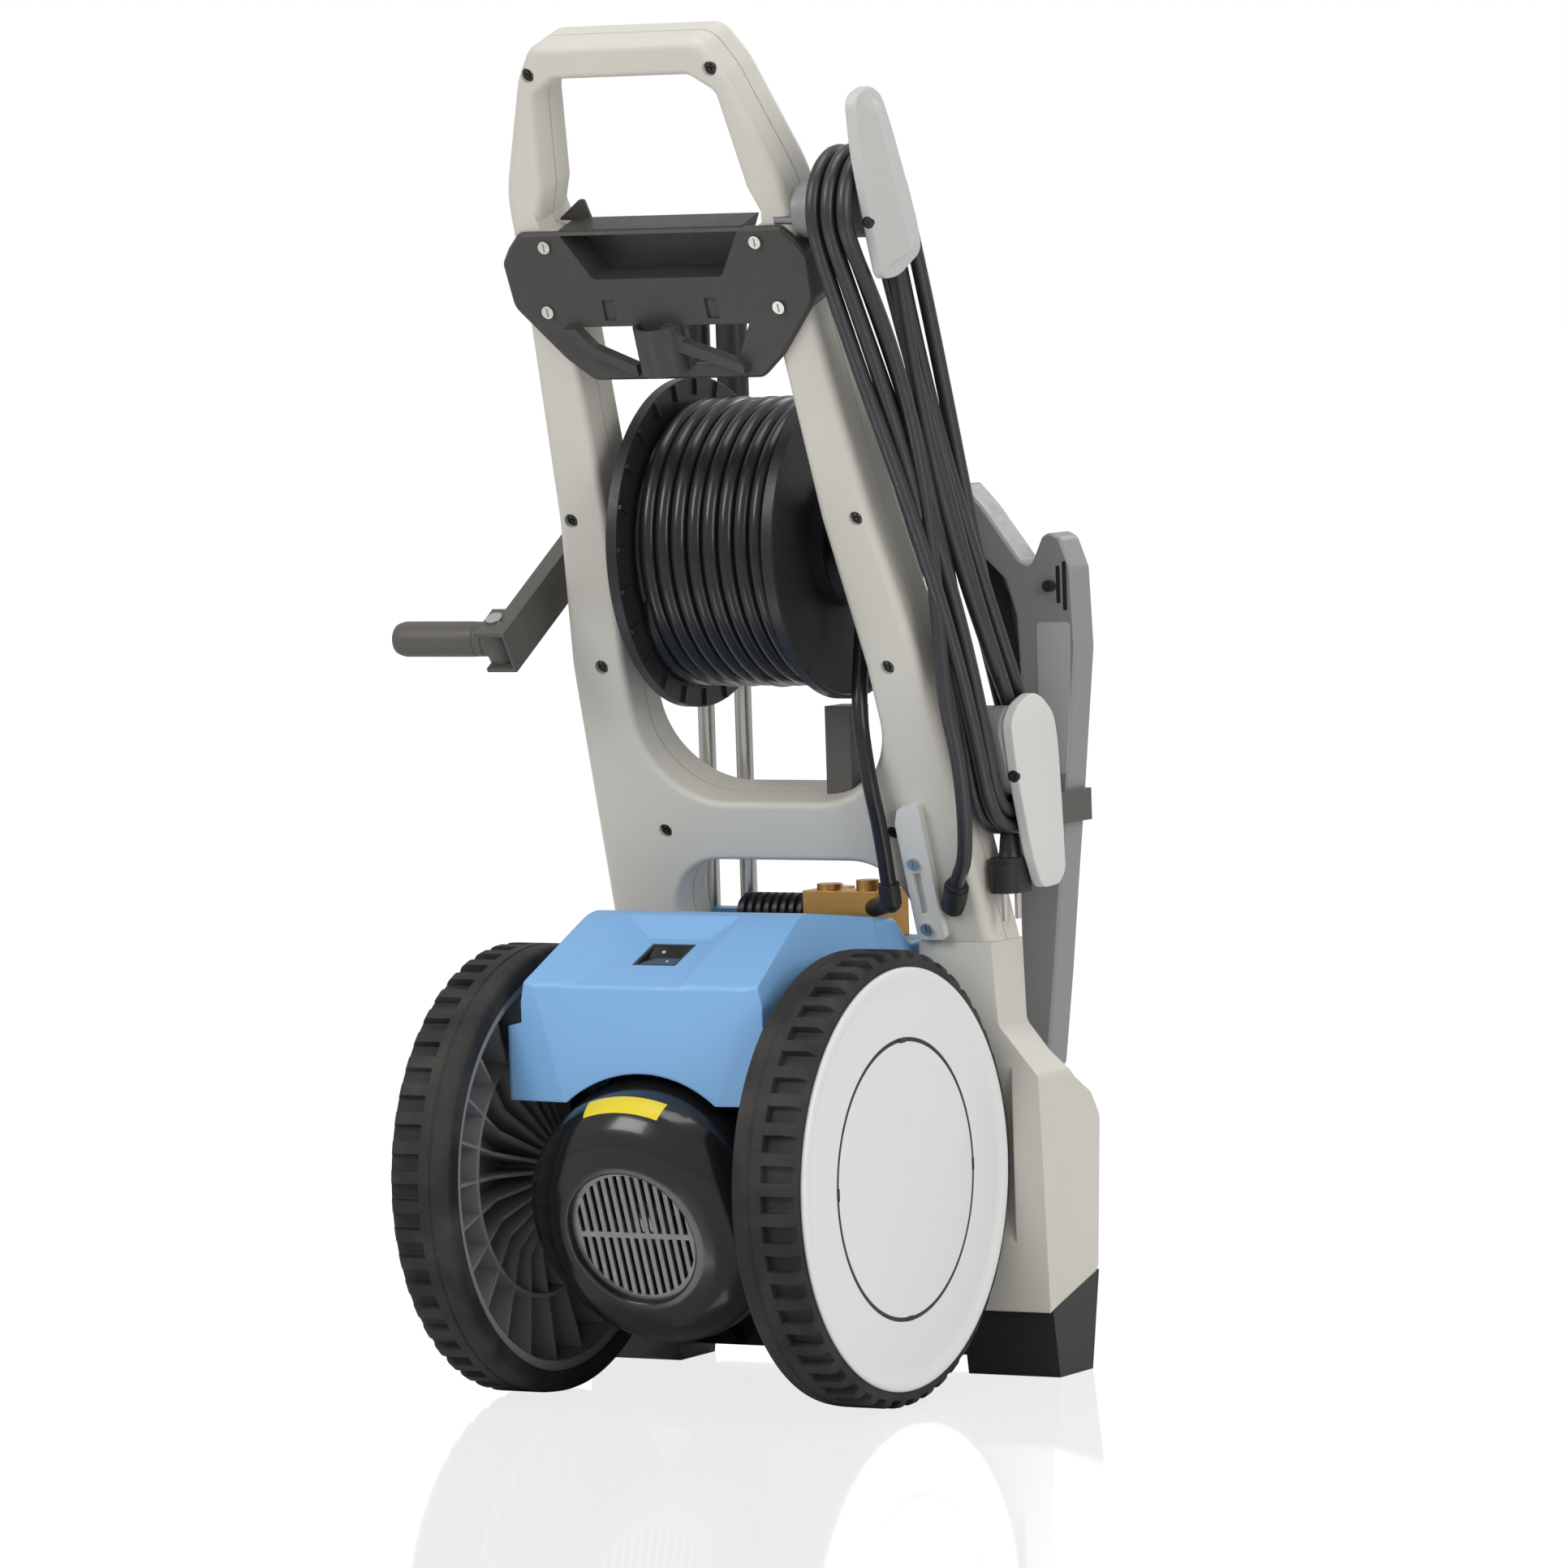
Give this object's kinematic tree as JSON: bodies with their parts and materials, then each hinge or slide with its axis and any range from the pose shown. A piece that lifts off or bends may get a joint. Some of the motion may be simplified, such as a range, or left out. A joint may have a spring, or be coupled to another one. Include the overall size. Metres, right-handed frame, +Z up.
{
  "type": "upright pressure washer",
  "caption": "Two-wheeled upright pressure washer with a leaning frame, hose drum with folding crank, cable hooks, motor and pump under covers, spray gun and lances.",
  "frame": {"origin": "centre of the bottom of the bounding box, measured without the power cable and its plug, at floor level", "axes": "+Z up, +Y to the rear, where the handle leans and the motor fan points, +X to the crank side along the wheel axle"},
  "size_m": [0.4276, 0.4, 0.9317],
  "materials": {
    "shell_grey": "fine-textured moulded plastic",
    "plate_dark": "dark textured plastic",
    "mid_grey": "mid-grey moulded plastic",
    "black_plastic": "black moulded plastic",
    "bonnet_blue": "satin blue plastic",
    "hubcap_grey": "dark satin plastic",
    "tyre": "black rubber",
    "hose_black": "smooth black hose",
    "cable_grey": "dark grey cable sheath",
    "steel": "bright steel",
    "motor_alu": "cast aluminium",
    "brass": "machined brass"
  },
  "bodies": {
    "chassis": {"base_tray": "black_plastic", "cable_coil": "cable_grey", "cable_gland": "black_plastic", "column_bracket": "shell_grey", "drum_bearings": "black_plastic", "drum_block": "black_plastic", "fan_cover": "plate_dark", "fan_grille": "plate_dark", "frame_front_shell": "shell_grey", "frame_rear_shell": "shell_grey", "frame_screws": "steel", "front_cover": "shell_grey", "gun_holder": "mid_grey", "holder_plate": "plate_dark", "hook_lower": "shell_grey", "hook_necks": "shell_grey", "hose_sleeve": "black_plastic", "inlet_coupling": "brass", "link_hose": "hose_black", "motor_bonnet": "bonnet_blue", "motor_housing": "motor_alu", "outlet_boot": "black_plastic", "panel_screws": "steel", "plug": "black_plastic", "plug_pins": "steel", "power_cable": "cable_grey", "pump_crankcase": "motor_alu", "pump_head": "brass", "pump_hood": "bonnet_blue", "side_cover_left": "shell_grey", "side_cover_right": "shell_grey", "stub_axles": "steel", "switch_housing": "black_plastic"},
    "wheel_left": {"tyre_left": "tyre", "rim_left": "black_plastic", "hubcap_left": "hubcap_grey"},
    "wheel_right": {"tyre_right": "tyre", "rim_right": "black_plastic", "hubcap_right": "hubcap_grey"},
    "drum": {"drum_flange_left": "black_plastic", "drum_flange_right": "black_plastic", "drum_shaft": "steel", "hose_coil": "hose_black", "crank_arm": "mid_grey", "fold_pin": "steel"},
    "crank_knuckle": {"crank_knuckle": "mid_grey"},
    "crank_grip": {"crank_grip": "mid_grey"},
    "hook_upper": {"hook_upper": "mid_grey"},
    "rocker": {"switch_rocker": "black_plastic"},
    "rotor": {"motor_shaft": "steel", "cooling_fan": "black_plastic"},
    "knob": {"pressure_knob": "black_plastic"},
    "gun": {"gun_body": "mid_grey", "gun_pipe": "steel"},
    "gun_trigger": {"gun_trigger": "black_plastic"},
    "gun_catch": {"gun_catch": "black_plastic"},
    "lance_narrow": {"lance_narrow": "steel", "lance_narrow_sleeve": "black_plastic"},
    "lance_wide": {"lance_wide": "steel", "lance_wide_sleeve": "black_plastic"}
  },
  "joints": [
    {"name": "wheel_left_spin", "type": "hinge", "parent": "chassis", "child": "wheel_left", "pos_m": [0.10275, 0.046, 0.154], "axis": [1, 0, 0], "continuous": true},
    {"name": "wheel_right_spin", "type": "hinge", "parent": "chassis", "child": "wheel_right", "pos_m": [-0.15725, 0.046, 0.154], "axis": [1, 0, 0], "continuous": true},
    {"name": "drum_spin", "type": "hinge", "parent": "chassis", "child": "drum", "pos_m": [-0.02725, -0.072, 0.577], "axis": [1, 0, 0], "continuous": true},
    {"name": "crank_fold", "type": "hinge", "parent": "drum", "child": "crank_knuckle", "pos_m": [0.12995, 0.02795, 0.51599], "axis": [0, 0.521, 0.8536], "range_deg": [-90, 0]},
    {"name": "grip_spin", "type": "hinge", "parent": "crank_knuckle", "child": "crank_grip", "pos_m": [0.1766, 0.02795, 0.51599], "axis": [1, 0, 0], "continuous": true},
    {"name": "hook_swivel", "type": "hinge", "parent": "chassis", "child": "hook_upper", "pos_m": [-0.19925, 0.059, 0.804], "axis": [-1, 0, 0], "range_deg": [0, 180]},
    {"name": "rocker_tilt", "type": "hinge", "parent": "chassis", "child": "rocker", "pos_m": [-0.02175, 0.07715, 0.30101], "axis": [1, 0, 0], "range_deg": [0, 7]},
    {"name": "motor_spin", "type": "hinge", "parent": "chassis", "child": "rotor", "pos_m": [-0.02725, 0.144, 0.12], "axis": [0, 0.9432, -0.3322], "continuous": true},
    {"name": "pressure_set", "type": "hinge", "parent": "chassis", "child": "knob", "pos_m": [-0.06325, -0.169, 0.256], "axis": [0, -1, 0], "range_deg": [0, 270]},
    {"name": "gun_lift", "type": "slide", "parent": "chassis", "child": "gun", "axis": [0, 0, 1], "range_m": [0, 0.12]},
    {"name": "trigger_pull", "type": "hinge", "parent": "gun", "child": "gun_trigger", "pos_m": [-0.17125, -0.1865, 0.478], "axis": [0, -1, 0], "range_deg": [0, 5], "stiffness_Nm_per_rad": 0.8, "springref_deg": -2.86},
    {"name": "catch_push", "type": "slide", "parent": "gun", "child": "gun_catch", "axis": [0, -1, 0], "range_m": [0, 0.005]},
    {"name": "lance_narrow_lift", "type": "slide", "parent": "chassis", "child": "lance_narrow", "axis": [0, 0, 1], "range_m": [0, 0.12]},
    {"name": "lance_wide_lift", "type": "slide", "parent": "chassis", "child": "lance_wide", "axis": [0, 0, 1], "range_m": [0, 0.12]}
  ]
}
